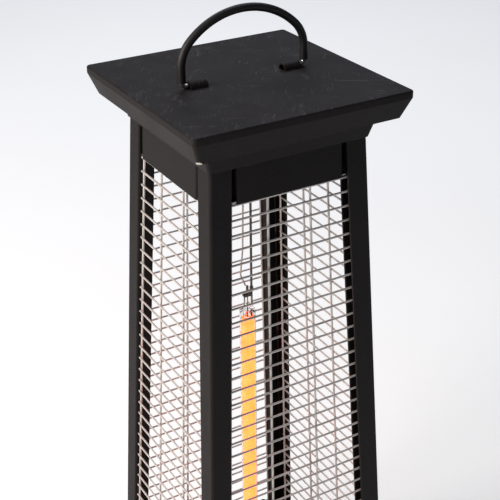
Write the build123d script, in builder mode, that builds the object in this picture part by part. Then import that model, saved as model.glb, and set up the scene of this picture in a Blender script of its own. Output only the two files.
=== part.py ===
"""A tapered lantern-style electric patio heater, in millimetres.

The origin is the centre of the footprint, on the floor. The front faces -Y, the right side +X, and Z is up.
Four splayed corner posts carry a stepped cap with a folding handle. Wire guards stand between the posts,
round one upright quartz heating element, and the switches and the wiring sit in the base and under the cap.
"""

from build123d import *
from math import atan2, degrees, hypot, sqrt
import os

os.makedirs("parts", exist_ok=True)

# ---- driving dimensions --------------------------------------------------------------------------
height = 680.0  # floor to the cap's flat top
cap_width = 214.0
cap_edge = 6.7  # upright edge of the cap
cap_drop = 25.7  # cap top to the lower rim of its sloping skirt
cap_rim_width = 199.7
cap_corner = 4.0
cap_edge_round = 1.8
collar_drop = 45.6  # cap top to the collar's lower rim
collar_top_width = 171.8
body_width_top = 157.6  # across the posts at the collar's lower rim
splay = 0.05  # how far each side leans out, per millimetre downwards
post_sheet = 2.0
sheet = 1.2
heat_sheet = 1.0
flange = 21.5  # leg of a corner post
post_return = 16.5  # third wall of a post, folded in behind one leg, from the face beside it
post_bend = 2.0  # outer rounding of that fold
post_spare = 1.0  # posts past the frame plate, and the third wall short of both plates
arris = 3.0  # rounding of a post's outer corner
fit_gap = 0.3  # clearance between pieces that only lie near each other
collar_gap = 0.6  # collar to posts

panel_drop = 79.5  # cap top to the lower edge of the upper panels
panel_gap = 4.5  # open strip between a panel and a post
panel_bend = 2.4  # outer rounding of a panel's upright folds
panel_rim = 11.0  # depth of a panel's folded edges
base_panel_top = 90.0

row_wire = 2.0  # level guard wires
row_pitch = 14.0
first_row_drop = 81.0
row_floor = 10.0  # least room between the lowest wire and the base panels
upright_wire = 2.2
upright_share = 0.268  # the two inner uprights, as a share of the half-width of the body
upright_tuck = 4.5  # the last upright, behind the open leg of its post
row_overhang = 5.0  # level wires past the last upright
row_clearance = 0.5
weld_sink = 0.3  # level wires sunk into the uprights by the resistance weld

foot_height = 8.0
foot_radius = 10.0
foot_inset = 9.6  # faces of the posts to the centres of the feet, at the base plate
skirt_width = 262.0
skirt_edge = 6.7
skirt_shoulder = 25.7  # floor side of the skirt to its shoulder
skirt_shoulder_width = 247.8
skirt_ledge_width = 231.8
skirt_rise = 45.6  # floor side of the skirt to its upper rim
skirt_lip = 36.0

handle_span = 124.2  # between the centre lines of the legs
handle_rise = 62.4  # cap top to the centre line of the crown
handle_leg = 18.2  # cap top to the start of the arch
handle_corner = 32.0
handle_bend = 3.6
handle_rod_width = 4.0
sleeve_width = 7.3
sleeve_start = 6.1  # cap top to the sleeve's ends
sleeve_gap = 0.05
pin_end = 42.0  # centre of the cap to the tips of the rod
bridge_inner = 39.0
bridge_length = 17.0
bridge_radius = 4.8  # inside of a pressed-up bridge

tube_width = 16.0
tube_wall = 0.8
tube_drop = 142.4  # heat shield down to the tube's top end
tube_stand = 22.2  # deck up to the tube's bottom end
pinch_length = 15.0
pinch_width = 7.4
pinch_thick = 3.0
pinch_corner = 0.9
shoulder_round = 6.0  # rounding of the tube where it closes in
bore_taper = 2.0  # half the length over which the bore closes in, and half that it closes by
shoulder_length = 6.0
pin_width = 1.2
pin_gap = 0.05
element_width = 14.2
element_wall = 0.5
element_inset = 24.0  # from each end of the tube

stay_place = 11.0  # the element's stay rod, along X and along Y
stay_width = 2.4
clamp_drop = 2.2  # tube end to the middle of its clamp
clamp_height = 2.0
clamp_wall = 0.7

bushing_place = (-2.4, 1.4)
bushing_width = 8.0
bushing_flange = 13.0
bushing_bore = 3.2
bushing_drop = 2.0  # below its plate
bushing_rise = 3.0  # flange above its plate
moulded_round = 1.0
lead_width = 1.6
riser_width = 2.4
riser_depth = 4.2  # post face to the centre of the riser

plate_wall = 11.0  # height of the top frame plate's rim
base_wall = 16.0
frame_drop = 43.0  # cap top to the underside of the top frame plate
screw_width = 4.0
screw_head = 7.0
screw_head_height = 2.4
screw_length = 7.0
screw_gap = 0.1
screw_cross = (3.8, 0.9)  # length and width of the cross in a screw's head
screw_depth_in_rim = 5.0  # screw centre from the edge of the rim it goes through
panel_screw_across = 27.0  # panel screws from the panel's centre line
lip_screw_depth = 8.6  # screws in the level lips, behind the posts' faces

standoff_place = 55.0
standoff_width = 8.0
standoff_thread = 10.0

switch_height = 72.0
rocker_across = 30.0
gland_across = -30.0
cable_width = 7.0
cable_gap = 0.1
tip_place = (-40.0, 40.0)
plunger_width = 6.0
plunger_gap = 0.08
plunger_travel = 4.8
block_place = (34.0, 34.0)
cutout_place = (28.0, 0.0)

# ---- levels and widths that follow ---------------------------------------------------------------
collar_low = height - collar_drop
cap_low = height - cap_drop
panel_low = height - panel_drop
frame_low = height - frame_drop
frame_high = frame_low + plate_wall
post_high = frame_high + post_spare
skirt_low = foot_height
skirt_high = skirt_low + skirt_rise
plate_low = skirt_low + sheet
plate_high = plate_low + base_wall
post_low = plate_low
recess = post_sheet - sheet  # panels lie flush with the inside of the posts
shield_low = panel_low + sheet
deck_high = base_panel_top - sheet
deck_low = deck_high - heat_sheet
row_depth = post_sheet + row_clearance + row_wire / 2
upright_depth = row_depth + (row_wire + upright_wire) / 2 - weld_sink
pin_axis = height + handle_rod_width / 2 + fit_gap
upper_screws = frame_high - screw_depth_in_rim
lower_screws = plate_high - screw_depth_in_rim
return_low = plate_high + post_spare
return_high = frame_low - post_spare
pinch_high = shield_low - tube_drop
pinch_low = deck_high + tube_stand
tube_high = pinch_high - pinch_length
tube_low = pinch_low + pinch_length
element_high = pinch_high - element_inset
element_low = pinch_low + element_inset
first_row = height - first_row_drop
row_count = int((first_row - base_panel_top - row_floor) / row_pitch) + 1
SIDES = ("front", "right", "back", "left")
CORNERS = [(-1, -1), (1, -1), (1, 1), (-1, 1)]


def body_half(z):
    """Half the width across the outer faces of the posts at height z."""
    return body_width_top / 2 + splay * (collar_low - z)


upper_panel_half = body_half((collar_low + panel_low) / 2) - flange - panel_gap
base_panel_half = body_half(base_panel_top) - flange - panel_gap
foot_place = body_half(post_low) - foot_inset


def write(part, name):
    """Label a finished piece and write it as its own STEP file."""
    part.label = name
    export_step(part, f"parts/{name}.step")


def slanted_wall(low, high, near, far):
    """Section of the front wall: a strip from `near` to `far` behind the posts' faces. Drawn in Plane.YZ."""
    corners = [(low, near), (high, near), (high, far), (low, far)]
    Polygon(*[(depth - body_half(z), z) for z, depth in corners], align=None)


def square(z, width, corner=0.0):
    """A square section at height z, its corners rounded when asked."""
    with BuildSketch(Plane.XY.offset(z)) as section:
        if corner:
            RectangleRounded(width, width, corner)
        else:
            Rectangle(width, width)
    return section.sketch


def face_plane(across, z, depth):
    """Plane on the front side, `across` from its centre line and `depth` behind the posts' faces."""
    origin = (across, -(body_half(z) - depth), z)
    return Plane(origin=origin, x_dir=(1, 0, 0), z_dir=(0, -1, splay))


def on_all_sides(across, z, depth):
    """The same place on each of the four sides, for every value in `across`."""
    return [
        Location((0, 0, 0), (0, 0, 90 * turn)) * face_plane(a, z, depth).location
        for turn in range(4)
        for a in across
    ]


def on_corners(place, z, turned=False):
    """Places near the four corners at height z, pointing up, or down when turned."""
    return [Location((place * sx, place * sy, z), (180 if turned else 0, 0, 0)) for sx, sy in CORNERS]


def write_turned(part, name):
    """Write a front piece, and copies of it turned to the other three sides."""
    for turn, side in enumerate(SIDES):
        write(part.rotate(Axis.Z, 90 * turn), f"{name}_{side}")


# ---- one screw, its head's underside at the origin -----------------------------------------------
with BuildPart() as screw:
    Cylinder(screw_head / 2, screw_head_height, align=(Align.CENTER, Align.CENTER, Align.MIN))
    fillet(screw.edges().group_by(Axis.Z)[-1], radius=screw_head_height / 2)
    with Locations((0, 0, screw_head_height)):
        Box(*screw_cross, screw_head_height, mode=Mode.SUBTRACT)
        Box(*reversed(screw_cross), screw_head_height, mode=Mode.SUBTRACT)
    Cylinder(screw_width / 2, screw_length, align=(Align.CENTER, Align.CENTER, Align.MAX))


def screw_group(name, places):
    """Identical screws at the given places, as one node of separate solids."""
    with BuildPart() as group:
        with Locations(*places):
            add(screw.part)
    write(group.part, name)


def clearance_holes(places):
    """Cut a screw's clearance hole at each place."""
    with Locations(*places):
        Cylinder(screw_width / 2 + screw_gap, 4 * screw_length, mode=Mode.SUBTRACT)


upper_panel_screws = on_all_sides((-panel_screw_across, panel_screw_across), upper_screws, recess)
lower_panel_screws = on_all_sides((-panel_screw_across, panel_screw_across), lower_screws, recess)


def post_screw_places(z):
    """One screw through each leg of every post at height z."""
    reach = body_half(z) - flange / 2
    return on_all_sides((-reach, reach), z, 0)


# ---- cap: folded shell with two bridges pressed up for the handle --------------------------------
with BuildPart() as cap_top:
    with BuildSketch(Plane.XY.offset(height - cap_edge)):
        RectangleRounded(cap_width, cap_width, cap_corner)
    extrude(amount=cap_edge)
    fillet(cap_top.edges().group_by(Axis.Z)[-1], radius=cap_edge_round)
    loft([square(height - cap_edge, cap_width, cap_corner), square(cap_low, cap_rim_width, cap_corner)])
    with BuildSketch(Plane.XY.offset(height - cap_edge)):
        RectangleRounded(cap_width - 2 * sheet, cap_width - 2 * sheet, cap_corner - sheet)
    extrude(amount=cap_edge - sheet, mode=Mode.SUBTRACT)
    inner_top = square(height - cap_edge, cap_width - 2 * sheet, cap_corner - sheet)
    inner_rim = square(cap_low, cap_rim_width - 2 * sheet, cap_corner - sheet)
    loft([inner_top, inner_rim], mode=Mode.SUBTRACT)
    bridge_centre = pin_axis + handle_rod_width / 2 + fit_gap - bridge_radius
    for start in (bridge_inner, -bridge_inner - bridge_length):
        with BuildSketch(Plane.XY.offset(height - sheet)):
            with Locations((start + bridge_length / 2, 0)):
                Rectangle(bridge_length, 2 * bridge_radius)
        extrude(amount=sheet, mode=Mode.SUBTRACT)
        with BuildSketch(Plane.YZ.offset(start)):
            with Locations((0, bridge_centre)):
                Circle(bridge_radius + sheet)
                Circle(bridge_radius, mode=Mode.SUBTRACT)
            with Locations((0, height - sheet)):
                block = 4 * bridge_radius
                Rectangle(block, block, align=(Align.CENTER, Align.MAX), mode=Mode.SUBTRACT)
        extrude(amount=bridge_length)
write(cap_top.part, "cap_top")

# ---- collar under the cap ------------------------------------------------------------------------
collar_low_width = body_width_top + 2 * (collar_gap + sheet)
with BuildPart() as cap_collar:
    loft([square(cap_low, collar_top_width, cap_corner), square(collar_low, collar_low_width, cap_corner)])
    extrude(square(cap_low, cap_rim_width - 2 * (sheet + fit_gap), cap_corner - sheet), amount=sheet)
    inner_top = square(cap_low + sheet, collar_top_width - 2 * sheet, cap_corner - sheet)
    inner_rim = square(collar_low, collar_low_width - 2 * sheet, cap_corner - sheet)
    loft([inner_top, inner_rim], mode=Mode.SUBTRACT)
write(cap_collar.part, "cap_collar")

# ---- frame plate under the cap, which joins the posts --------------------------------------------
upper_screws_all = upper_panel_screws + post_screw_places(upper_screws)
lower_screws_all = lower_panel_screws + post_screw_places(lower_screws)


def frame_pan(low, high, floor_holes, wall_holes):
    """A square pan whose rim follows the splay and lies against the insides of the posts."""
    loft([square(z, 2 * (body_half(z) - post_sheet), arris - post_sheet) for z in (low, high)])
    inside = [square(z, 2 * (body_half(z) - post_sheet - sheet)) for z in (low + sheet, high)]
    loft(inside, mode=Mode.SUBTRACT)
    clearance_holes(floor_holes)
    rim_holes(wall_holes)


def rim_holes(places):
    """Short clearance holes, through the walls that meet there only."""
    with Locations(*places):
        Cylinder(screw_width / 2 + screw_gap, 4 * post_sheet + 2, mode=Mode.SUBTRACT)


with BuildPart() as frame_plate:
    frame_pan(frame_low, frame_high, on_corners(standoff_place, frame_low), upper_screws_all)
    with Locations((0, 0, frame_low)):
        Cylinder(bushing_flange, 4 * sheet, mode=Mode.SUBTRACT)
write(frame_plate.part, "frame_plate")

# ---- standoffs that hang from the cap, with their screws -----------------------------------------
standoff_length = height - sheet - frame_low - sheet
with BuildPart() as cap_standoffs:
    with Locations(*on_corners(standoff_place, frame_low + sheet)):
        Cylinder(standoff_width / 2, standoff_length, align=(Align.CENTER, Align.CENTER, Align.MIN))
    with Locations(*on_corners(standoff_place, frame_low + sheet)):
        Cylinder(screw_width / 2 + pin_gap, 2 * standoff_thread, mode=Mode.SUBTRACT)
write(cap_standoffs.part, "cap_standoffs")
screw_group("cap_screws", on_corners(standoff_place, frame_low, turned=True))

# ---- handle: bent rod in a rubber sleeve ---------------------------------------------------------
leg = handle_span / 2
arch_low = height + handle_leg
crown_rise = handle_rise - handle_leg
corner_across = leg - handle_corner
crown_square = corner_across**2 + crown_rise**2 - handle_corner**2
crown_radius = crown_square / (2 * (crown_rise - handle_corner))
crown_centre = height + handle_rise - crown_radius
arch_turn = degrees(atan2(arch_low - crown_centre, corner_across))


def handle_arch():
    """The arch over the cap, from the left leg to the right one, drawn in Plane.XZ."""
    CenterArc((-corner_across, arch_low), handle_corner, 180, -arch_turn)
    CenterArc((0, crown_centre), crown_radius, 180 - arch_turn, -(180 - 2 * arch_turn))
    CenterArc((corner_across, arch_low), handle_corner, arch_turn, -arch_turn)


with BuildPart() as handle_rod:
    with BuildLine(Plane.XZ):
        bend_high = pin_axis + handle_bend
        Line((-pin_end, pin_axis), (-(leg - handle_bend), pin_axis))
        CenterArc((-(leg - handle_bend), bend_high), handle_bend, 270, -90)
        Line((-leg, bend_high), (-leg, arch_low))
        handle_arch()
        Line((leg, arch_low), (leg, bend_high))
        CenterArc((leg - handle_bend, bend_high), handle_bend, 0, -90)
        Line((leg - handle_bend, pin_axis), (pin_end, pin_axis))
    with BuildSketch(Plane(origin=(-pin_end, 0, pin_axis), z_dir=(-1, 0, 0))):
        Circle(handle_rod_width / 2)
    sweep()
write(handle_rod.part, "handle_rod")

with BuildPart() as handle_sleeve:
    with BuildLine(Plane.XZ):
        Line((-leg, height + sleeve_start), (-leg, arch_low))
        handle_arch()
        Line((leg, arch_low), (leg, height + sleeve_start))
    with BuildSketch(Plane.XY.offset(height + sleeve_start)):
        with Locations((-leg, 0)):
            Circle(sleeve_width / 2)
            Circle(handle_rod_width / 2 + sleeve_gap, mode=Mode.SUBTRACT)
    sweep()
write(handle_sleeve.part, "handle_sleeve")

# ---- corner posts --------------------------------------------------------------------------------
post_rise = post_high - post_low
with BuildPart() as post:
    with BuildSketch(Plane.XY.offset(post_low)) as post_section:
        corner = -body_half(post_low)
        with Locations((corner, corner)):
            Rectangle(flange, flange, align=(Align.MIN, Align.MIN))
        with Locations((corner + post_sheet, corner + post_sheet)):
            Rectangle(flange, flange, align=(Align.MIN, Align.MIN), mode=Mode.SUBTRACT)
        with Locations((corner + flange, corner)):
            Rectangle(post_bend, flange, align=(Align.MAX, Align.MIN), mode=Mode.SUBTRACT)
        fillet(post_section.vertices().sort_by(lambda v: v.X + v.Y)[0], radius=arris)
    extrude(amount=post_rise * sqrt(1 + 2 * splay**2), dir=(splay, splay, 1))
    with BuildSketch(Plane.XY.offset(return_low)) as return_section:
        corner = -body_half(return_low)
        with Locations((corner + arris, corner)):
            Rectangle(flange - arris, post_return, align=(Align.MIN, Align.MIN))
        fillet(return_section.vertices().sort_by(lambda v: v.Y - v.X)[0], radius=post_bend)
        with Locations((corner, corner + post_sheet)):
            Rectangle(flange - post_sheet, post_return, align=(Align.MIN, Align.MIN), mode=Mode.SUBTRACT)
    extrude(amount=(return_high - return_low) * sqrt(1 + 2 * splay**2), dir=(splay, splay, 1))
    rim_holes(post_screw_places(upper_screws) + post_screw_places(lower_screws))
for turn, place in enumerate(("front_left", "front_right", "back_right", "back_left")):
    write(post.part.rotate(Axis.Z, 90 * turn), f"post_{place}")

# ---- panels between the posts: folded pans under the collar, and round the base ------------------


def rounded_block(half, span, inset, depth, mode=Mode.ADD):
    """A block behind the front face, `inset` in from a panel's outline, with rounded front corners."""
    low, high = span
    with BuildSketch(Plane.XY.offset(low)) as outline:
        with Locations((0, -(body_half(low) - recess - inset))):
            Rectangle(2 * (half - inset), depth, align=(Align.CENTER, Align.MIN))
        fillet(outline.vertices().group_by(Axis.Y)[0], radius=panel_bend - inset)
    extrude(outline.sketch, amount=(high - low) * sqrt(1 + splay**2), dir=(0, splay, 1), mode=mode)


def side_panel(half, face, rim, hollow, screw_places, lip_spots):
    """A flat front panel with folded edges; face, rim and hollow are spans of heights."""
    with BuildPart() as panel:
        with BuildSketch(Plane.YZ):
            slanted_wall(*face, recess, recess + sheet)
        extrude(amount=half - panel_bend, both=True)
        rounded_block(half, rim, 0, panel_rim)
        rounded_block(half, hollow, sheet, 2 * panel_rim, Mode.SUBTRACT)
        rim_holes(screw_places)
        clearance_holes(lip_spots)
    return panel.part


panel_lip_spots = [Location((0, -(body_half(panel_low) - lip_screw_depth), panel_low), (180, 0, 0))]
base_lip_spots = [Location((0, -(body_half(base_panel_top) - lip_screw_depth), base_panel_top))]


def around(spots):
    """The given front places, repeated on all four sides."""
    return [Location((0, 0, 0), (0, 0, 90 * turn)) * spot for turn in range(4) for spot in spots]


upper_rim = (panel_low, collar_low - fit_gap)
top_panel = side_panel(
    upper_panel_half,
    (panel_low, frame_high),
    upper_rim,
    (panel_low + sheet, upper_rim[1]),
    upper_panel_screws,
    panel_lip_spots,
)
write_turned(top_panel, "top_panel")

# ---- rocker switch and cable gland, on the slanted back panel ------------------------------------
bezel_size = (15.0, 21.0)
body_size = (12.8, 19.0)
cutout_gap = 0.1
bezel_thick = 2.0
body_deep = 18.0
gland_thread = 12.0
gland_hex = 15.0
gland_seat = 5.0
gland_dome = 9.0
gland_tail = 10.0
gland_step = 0.6
gland_taper = 12.0  # degrees
thread_gap = 0.15
nut_thick = 4.0


def back_plane(across, depth=0.0):
    """Plane on the back panel's outer face or `depth` behind it, facing out, its y axis up the slope."""
    origin = (across, body_half(switch_height) - recess, switch_height)
    return Plane(origin=origin, x_dir=(-1, 0, 0), z_dir=(0, 1, splay)).offset(-depth)


lower_rim = (skirt_high - skirt_edge, base_panel_top)
base_panel = side_panel(
    base_panel_half,
    (plate_low, base_panel_top),
    lower_rim,
    (lower_rim[0], base_panel_top - sheet),
    lower_panel_screws,
    base_lip_spots,
)
for turn, side in enumerate(SIDES):
    with BuildPart() as fitted_panel:
        add(base_panel.rotate(Axis.Z, 90 * turn))
        if side == "back":
            with BuildSketch(back_plane(rocker_across)):
                Rectangle(body_size[0] + 2 * cutout_gap, body_size[1] + 2 * cutout_gap)
            with BuildSketch(back_plane(gland_across)):
                Circle(gland_thread / 2 + cutout_gap)
            extrude(amount=3 * sheet, both=True, mode=Mode.SUBTRACT)
    write(fitted_panel.part, f"base_panel_{side}")

rocker_half = 7.2
rocker_wide = 10.4
rocker_tilt = 8.0
rocker_pivot = 3.0  # panel face to the pivot, inwards
rocker_pin = 2.0
rocker_room = 8.4
rocker_side_room = 5.5
rocker_rise = 1.6  # rocker's two ends past the bezel
rocker_dip = 0.5  # its middle past the bezel
rocker_shoulder = 1.5  # its outer corners past the pivot
rocker_belly = 4.0  # its lowest point behind the pivot
rocker_lug = 0.8  # its pin past each side
bezel_corner = 1.5
tab_size = (0.8, 4.8)  # flat terminals of the switches
tab_reach = 6.0
with BuildPart() as rocker_housing:
    with BuildSketch(back_plane(rocker_across)):
        RectangleRounded(*bezel_size, bezel_corner)
    extrude(amount=bezel_thick)
    with BuildSketch(back_plane(rocker_across)):
        Rectangle(*body_size)
    extrude(amount=-body_deep)
    with BuildSketch(back_plane(rocker_across).offset(bezel_thick)):
        Rectangle(2 * rocker_side_room, 2 * rocker_room)
    extrude(amount=-(bezel_thick + body_deep - 2 * sheet), mode=Mode.SUBTRACT)
    pivot_line = Plane(origin=back_plane(rocker_across, rocker_pivot).origin, z_dir=(1, 0, 0))
    with BuildSketch(pivot_line):
        Circle(rocker_pin / 2 + pin_gap)
    extrude(amount=body_size[0], both=True, mode=Mode.SUBTRACT)
    with BuildSketch(back_plane(rocker_across, body_deep)):
        with GridLocations(0, tab_reach, 1, 3):
            Rectangle(*tab_size)
    extrude(amount=-tab_reach)
write(rocker_housing.part, "rocker_housing")

with BuildPart() as rocker:
    seat = back_plane(rocker_across, rocker_pivot)
    side_view = Plane(origin=seat.origin, x_dir=seat.y_dir, z_dir=seat.x_dir * -1)
    with BuildSketch(side_view):
        with BuildLine():
            Polyline(
                (-rocker_half, rocker_pivot + bezel_thick + rocker_rise),
                (0, rocker_pivot + bezel_thick + rocker_dip),
                (rocker_half, rocker_pivot + bezel_thick + rocker_rise),
                (rocker_half, rocker_shoulder),
                (0, -rocker_belly),
                (-rocker_half, rocker_shoulder),
                close=True,
            )
        make_face()
    extrude(amount=rocker_wide / 2, both=True)
    with BuildSketch(side_view):
        Circle(rocker_pin / 2)
    extrude(amount=rocker_wide / 2 + rocker_lug, both=True)
pivot_axis = Axis(back_plane(rocker_across, rocker_pivot).origin, (1, 0, 0))
write(rocker.part.rotate(pivot_axis, rocker_tilt), "rocker")

with BuildPart() as cable_gland:
    with BuildSketch(back_plane(gland_across)):
        RegularPolygon(gland_hex / 2, 6, major_radius=False)
    extrude(amount=gland_seat)
    with BuildSketch(back_plane(gland_across, -gland_seat)):
        Circle(gland_hex / 2 - gland_step)
    extrude(amount=gland_dome, taper=gland_taper)
    with BuildSketch(back_plane(gland_across)):
        Circle(gland_thread / 2)
    extrude(amount=-gland_tail)
    with BuildSketch(back_plane(gland_across, gland_tail)):
        Circle(cable_width / 2 + cable_gap)
    extrude(amount=gland_tail + gland_seat + gland_dome, mode=Mode.SUBTRACT)
write(cable_gland.part, "cable_gland")

with BuildPart() as gland_nut:
    with BuildSketch(back_plane(gland_across, sheet + 0.05)):
        RegularPolygon(gland_hex / 2, 6, major_radius=False)
        Circle(gland_thread / 2 + thread_gap, mode=Mode.SUBTRACT)
    extrude(amount=-nut_thick)
write(gland_nut.part, "gland_nut")

# ---- wire guards between the posts ---------------------------------------------------------------
row_levels = [first_row - row_pitch * n for n in range(row_count)]
guard_top = panel_low - fit_gap
guard_bottom = base_panel_top + fit_gap


def guard_reach(z):
    """Where the front guard starts, beside one post's third wall, and ends, behind the other post."""
    opening = body_half(z) - flange
    return fit_gap - opening, opening + upright_tuck


def upright_places(z):
    """The four uprights of the front guard, across from its centre line at height z."""
    start, end = guard_reach(z)
    inner = upright_share * body_half(z)
    return start + upright_wire / 2, -inner, inner, end


with BuildPart() as guard:
    with BuildSketch(Plane.YZ):
        with Locations(*[(-(body_half(z) - row_depth), z) for z in row_levels]):
            Circle(row_wire / 2)
    extrude(amount=body_half(0), both=True)
    with BuildSketch(Plane.XZ):
        with BuildLine():
            (low_start, low_end), (high_start, high_end) = guard_reach(0), guard_reach(height)
            corners = [(low_start, 0), (low_end, 0), (high_end, height), (high_start, height)]
            Polyline(*[(x + (row_overhang if x > 0 else 0), z) for x, z in corners], close=True)
        make_face()
    extrude(amount=2 * body_half(0), both=True, mode=Mode.INTERSECT)
    for across_low, across_high in zip(upright_places(guard_bottom), upright_places(guard_top)):
        foot = Vector(across_low, -(body_half(guard_bottom) - upright_depth), guard_bottom)
        head = Vector(across_high, -(body_half(guard_top) - upright_depth), guard_top)
        with BuildSketch(Plane(origin=foot, z_dir=head - foot)):
            Circle(upright_wire / 2)
        extrude(amount=(head - foot).length)
write_turned(guard.part, "guard")

# ---- heat shield under the wiring space, and the deck above the base -----------------------------


def cross_plate(low, half, spots, name):
    """A level plate between the posts, slotted for the upright folds of the four panels."""
    face = body_half(low + heat_sheet) - recess - sheet - fit_gap
    arm = body_half(low + heat_sheet) - flange - 2 * fit_gap
    with BuildPart() as plate:
        with BuildSketch(Plane.XY.offset(low)):
            Rectangle(2 * face, 2 * arm)
            Rectangle(2 * arm, 2 * face)
            slot_spots = [(side * (half - sheet / 2), face) for side in (-1, 1)]
            for turn in range(4):
                turned = Location((0, 0, 0), (0, 0, 90 * turn))
                with Locations(*[turned * Location((x, y, 0)) for x, y in slot_spots]):
                    Rectangle(sheet + 2 * fit_gap, 2 * panel_rim, mode=Mode.SUBTRACT)
            with Locations(bushing_place):
                Circle(bushing_width / 2 + pin_gap, mode=Mode.SUBTRACT)
            with Locations((stay_place, stay_place)):
                Circle(stay_width / 2 + screw_gap, mode=Mode.SUBTRACT)
        extrude(amount=heat_sheet)
        clearance_holes(spots)
    write(plate.part, name)


cross_plate(shield_low, upper_panel_half, around(panel_lip_spots), "heat_shield")
cross_plate(deck_low, base_panel_half, around(base_lip_spots), "lower_deck")
screw_group("shield_screws", around(panel_lip_spots))
screw_group("deck_screws", around(base_lip_spots))

# ---- base: plate, stepped skirt and feet ---------------------------------------------------------
plunger_hole = plunger_width / 2 + 1.0
with BuildPart() as base_plate:
    frame_pan(plate_low, plate_high, on_corners(foot_place, plate_low), lower_screws_all)
    with Locations((*tip_place, plate_low)):
        Cylinder(plunger_hole, 4 * sheet, mode=Mode.SUBTRACT)
write(base_plate.part, "base_plate")

skirt_shoulder_z = skirt_low + skirt_shoulder
skirt_top_width = 2 * (body_half(skirt_high) + collar_gap + sheet)
skirt_edge_high = skirt_low + skirt_edge
with BuildPart() as base_skirt:
    extrude(square(skirt_low, skirt_width, cap_corner), amount=skirt_edge)
    for wall, mode in ((0, Mode.ADD), (sheet, Mode.SUBTRACT)):
        corner = cap_corner - wall
        shoulder = skirt_shoulder_z - wall
        slope = [(skirt_edge_high, skirt_width), (shoulder, skirt_shoulder_width)]
        tower = [(shoulder, skirt_ledge_width), (skirt_high, skirt_top_width)]
        loft([square(z, width - 2 * wall, corner) for z, width in slope], mode=mode)
        loft([square(z, width - 2 * wall, corner) for z, width in tower], mode=mode)
    inner = square(skirt_low + sheet, skirt_width - 2 * sheet, cap_corner - sheet)
    extrude(inner, amount=skirt_edge - sheet, mode=Mode.SUBTRACT)
    opening = square(skirt_low, skirt_width - 2 * skirt_lip, cap_corner)
    extrude(opening, amount=sheet, mode=Mode.SUBTRACT)
    clearance_holes(on_corners(foot_place, skirt_low))
write(base_skirt.part, "base_skirt")

foot_recess = 4.0
foot_taper = 1.5
with BuildPart() as feet:
    with Locations(*on_corners(foot_place, 0)):
        upwards = (Align.CENTER, Align.CENTER, Align.MIN)
        Cone(foot_radius - foot_taper, foot_radius, foot_height, align=upwards)
        Cylinder(screw_width / 2 + screw_gap, 3 * foot_height, mode=Mode.SUBTRACT)
        Cylinder(screw_head / 2 + screw_gap, 2 * foot_recess, mode=Mode.SUBTRACT)
write(feet.part, "feet")
screw_group("foot_screws", on_corners(foot_place, foot_recess, turned=True))
screw_group("frame_screws", upper_screws_all)
screw_group("base_screws", lower_screws_all)

# ---- heating element -----------------------------------------------------------------------------
with BuildPart() as quartz_tube:
    with Locations((0, 0, tube_low)):
        Cylinder(tube_width / 2, tube_high - tube_low, align=(Align.CENTER, Align.CENTER, Align.MIN))
    ends = quartz_tube.edges().filter_by(GeomType.CIRCLE)
    fillet(ends, radius=shoulder_round)
    for low in (pinch_low, tube_high - shoulder_length):
        with BuildSketch(Plane.XY.offset(low)):
            RectangleRounded(pinch_width, pinch_thick, pinch_corner)
        extrude(amount=pinch_length + shoulder_length)
    with BuildSketch(Plane.XZ):
        with BuildLine():
            bore, neck = tube_width / 2 - tube_wall, tube_width / 2 - tube_wall - 2 * bore_taper
            low, high = tube_low + shoulder_length, tube_high - shoulder_length
            lower_end = [(0, low - bore_taper), (neck, low - bore_taper), (bore, low + bore_taper)]
            upper_end = [(bore, high - bore_taper), (neck, high + bore_taper), (0, high + bore_taper)]
            Polyline(*lower_end, *upper_end, close=True)
        make_face()
    revolve(axis=Axis.Z, mode=Mode.SUBTRACT)
    with Locations((0, 0, pinch_low)):
        pinch_bore = pin_width / 2 + pin_gap
        Cylinder(pinch_bore, 2 * (pinch_high - pinch_low), mode=Mode.SUBTRACT)
write(quartz_tube.part, "quartz_tube")

with BuildPart() as carbon_element:
    with Locations((0, 0, element_low)):
        upwards = (Align.CENTER, Align.CENTER, Align.MIN)
        Cylinder(element_width / 2, element_high - element_low, align=upwards)
    with Locations((0, 0, element_low + 2 * element_wall)):
        Cylinder(
            element_width / 2 - element_wall,
            element_high - element_low - 4 * element_wall,
            align=upwards,
            mode=Mode.SUBTRACT,
        )
    with Locations((0, 0, element_low)):
        Cylinder(pin_width / 2 + pin_gap, 3 * (element_high - element_low), mode=Mode.SUBTRACT)
write(carbon_element.part, "carbon_element")

crimp_width = 2.6
crimp_length = 6.0
pin_reach = 2.0  # pins past the ends of the tube
pin_sink = 3.0  # pins into the ends of the element
with BuildPart() as element_pins:
    for low, high, crimp in (
        (element_high - pin_sink, pinch_high + pin_reach, pinch_high + pin_reach),
        (pinch_low - pin_reach, element_low + pin_sink, pinch_low - pin_reach - crimp_length),
    ):
        with BuildSketch(Plane.XY.offset(low)):
            Circle(pin_width / 2)
        extrude(amount=high - low)
        with BuildSketch(Plane.XY.offset(crimp)):
            Circle(crimp_width / 2)
        extrude(amount=crimp_length)
write(element_pins.part, "element_pins")

# ---- stay rod that carries the element -----------------------------------------------------------
stay_nut = 5.5
stay_nut_thick = 2.4
stay_tip = 2.0  # rod past its outer nuts
stay_high = shield_low + heat_sheet + stay_nut_thick + stay_tip
stay_low = deck_low - stay_nut_thick - stay_tip
with BuildPart() as stay_rod:
    with BuildSketch(Plane.XY.offset(stay_low)):
        with Locations((stay_place, stay_place)):
            Circle(stay_width / 2)
    extrude(amount=stay_high - stay_low)
write(stay_rod.part, "stay_rod")

with BuildPart() as stay_nuts:
    for low in (shield_low + heat_sheet, shield_low - stay_nut_thick, deck_high, deck_low - stay_nut_thick):
        with BuildSketch(Plane.XY.offset(low)):
            with Locations((stay_place, stay_place)):
                RegularPolygon(stay_nut / 2, 6, major_radius=False)
                Circle(stay_width / 2 + pin_gap, mode=Mode.SUBTRACT)
        extrude(amount=stay_nut_thick)
write(stay_nuts.part, "stay_nuts")


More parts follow.
